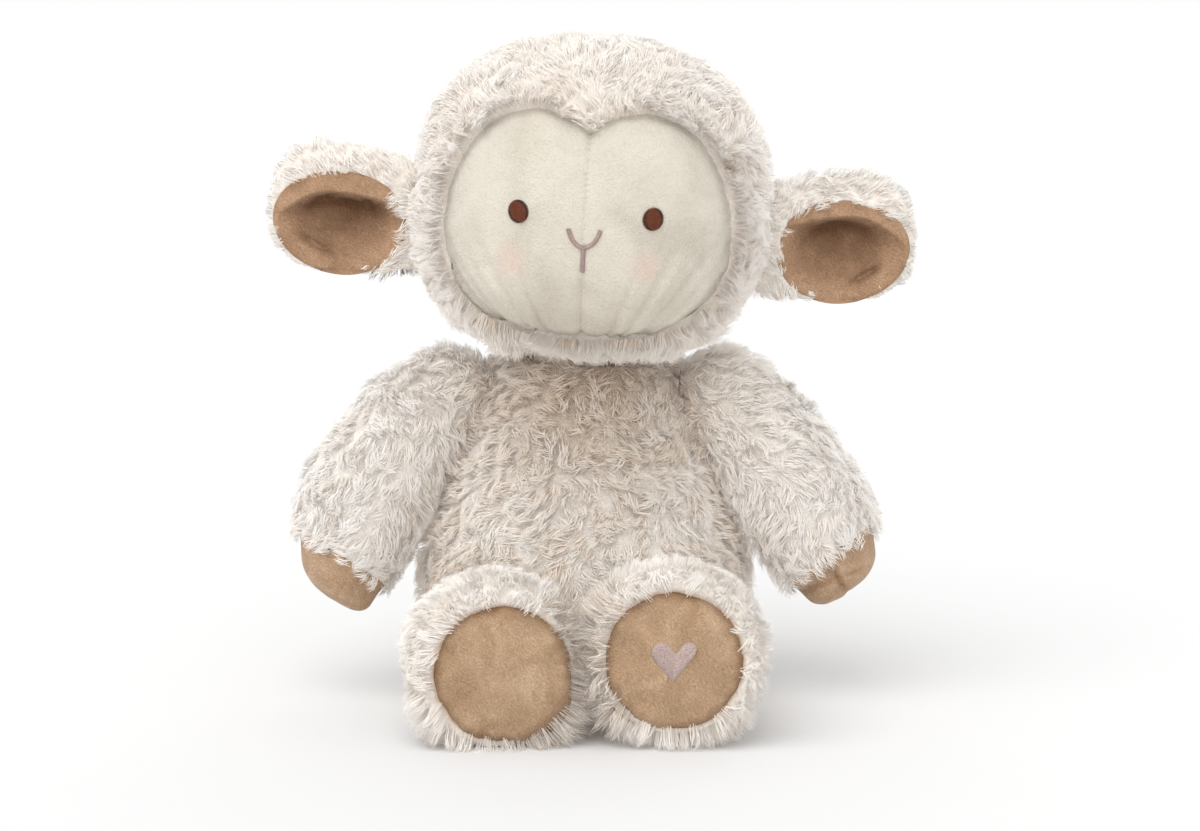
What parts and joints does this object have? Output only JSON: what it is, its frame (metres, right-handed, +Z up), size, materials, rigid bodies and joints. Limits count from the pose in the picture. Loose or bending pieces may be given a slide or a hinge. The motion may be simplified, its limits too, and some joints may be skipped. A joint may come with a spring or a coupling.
{
  "type": "plush sheep",
  "caption": "Seated plush lamb with tousled fur, a smooth face panel, side ears with bare linings, hanging arms with hoof caps and legs with bare soles.",
  "frame": {"origin": "middle of the flat seat, on the surface that the toy sits on", "axes": "+Z up, the toy faces -Y, and its own left side is at +X"},
  "size_m": [0.2846, 0.2165, 0.2886],
  "materials": {
    "fur_fabric": "matte",
    "face_fabric": "matte",
    "tan_fabric": "matte",
    "brown_thread": "satin",
    "mauve_thread": "satin",
    "fibre_filling": "matte",
    "pellet_cloth": "matte"
  },
  "bodies": {
    "torso": {"torso_fur": "fur_fabric", "torso_filling": "fibre_filling", "seat_bean_bag": "pellet_cloth"},
    "neck": {"neck_filling": "fibre_filling"},
    "head": {"head_fur": "fur_fabric", "face_panel": "face_fabric", "head_filling": "fibre_filling", "right_eye": "brown_thread", "left_eye": "brown_thread", "nose_stitching": "mauve_thread"},
    "right_ear": {"right_ear_fur": "fur_fabric", "right_ear_lining": "tan_fabric"},
    "left_ear": {"left_ear_fur": "fur_fabric", "left_ear_lining": "tan_fabric"},
    "right_arm": {"right_arm_fur": "fur_fabric", "right_arm_filling": "fibre_filling", "right_hoof_cap": "tan_fabric"},
    "left_arm": {"left_arm_fur": "fur_fabric", "left_arm_filling": "fibre_filling", "left_hoof_cap": "tan_fabric"},
    "right_leg": {"right_leg_fur": "fur_fabric", "right_leg_filling": "fibre_filling", "right_sole": "tan_fabric"},
    "left_leg": {"left_leg_fur": "fur_fabric", "left_leg_filling": "fibre_filling", "left_sole": "tan_fabric", "sole_heart_stitching": "mauve_thread"},
    "tail": {"tail": "fur_fabric"}
  },
  "joints": [
    {"name": "neck_turn", "type": "hinge", "parent": "torso", "child": "neck", "pos_m": [0, 0, 0.1485], "axis": [0, 0, 1], "range_deg": [-20, 20], "stiffness_Nm_per_rad": 1},
    {"name": "head_nod", "type": "hinge", "parent": "neck", "child": "head", "pos_m": [0, 0, 0.1485], "axis": [1, 0, 0], "range_deg": [-10, 10], "stiffness_Nm_per_rad": 4},
    {"name": "right_ear_fold", "type": "hinge", "parent": "head", "child": "right_ear", "pos_m": [-0.0745, -0.0057, 0.2095], "axis": [0, 0, 1], "range_deg": [-25, 35], "stiffness_Nm_per_rad": 0.05},
    {"name": "left_ear_fold", "type": "hinge", "parent": "head", "child": "left_ear", "pos_m": [0.0805, -0.0057, 0.1995], "axis": [0, 0, -1], "range_deg": [-25, 35], "stiffness_Nm_per_rad": 0.05},
    {"name": "right_arm_raise", "type": "hinge", "parent": "torso", "child": "right_arm", "pos_m": [-0.04234, 0, 0.1512], "axis": [0, 1, 0], "range_deg": [0, 18], "stiffness_Nm_per_rad": 0.3},
    {"name": "left_arm_raise", "type": "hinge", "parent": "torso", "child": "left_arm", "pos_m": [0.04234, 0, 0.1512], "axis": [0, -1, 0], "range_deg": [0, 18], "stiffness_Nm_per_rad": 0.3},
    {"name": "right_leg_lift", "type": "hinge", "parent": "torso", "child": "right_leg", "pos_m": [-0.04088, -0.05301, 0.06778], "axis": [-1, 0, 0], "range_deg": [0, 30], "stiffness_Nm_per_rad": 0.4},
    {"name": "left_leg_lift", "type": "hinge", "parent": "torso", "child": "left_leg", "pos_m": [0.04088, -0.05301, 0.06778], "axis": [-1, 0, 0], "range_deg": [0, 30], "stiffness_Nm_per_rad": 0.4},
    {"name": "tail_wag", "type": "hinge", "parent": "torso", "child": "tail", "pos_m": [0, 0.04902, 0.0576], "axis": [0, 0, 1], "range_deg": [-15, 15], "stiffness_Nm_per_rad": 0.01}
  ]
}
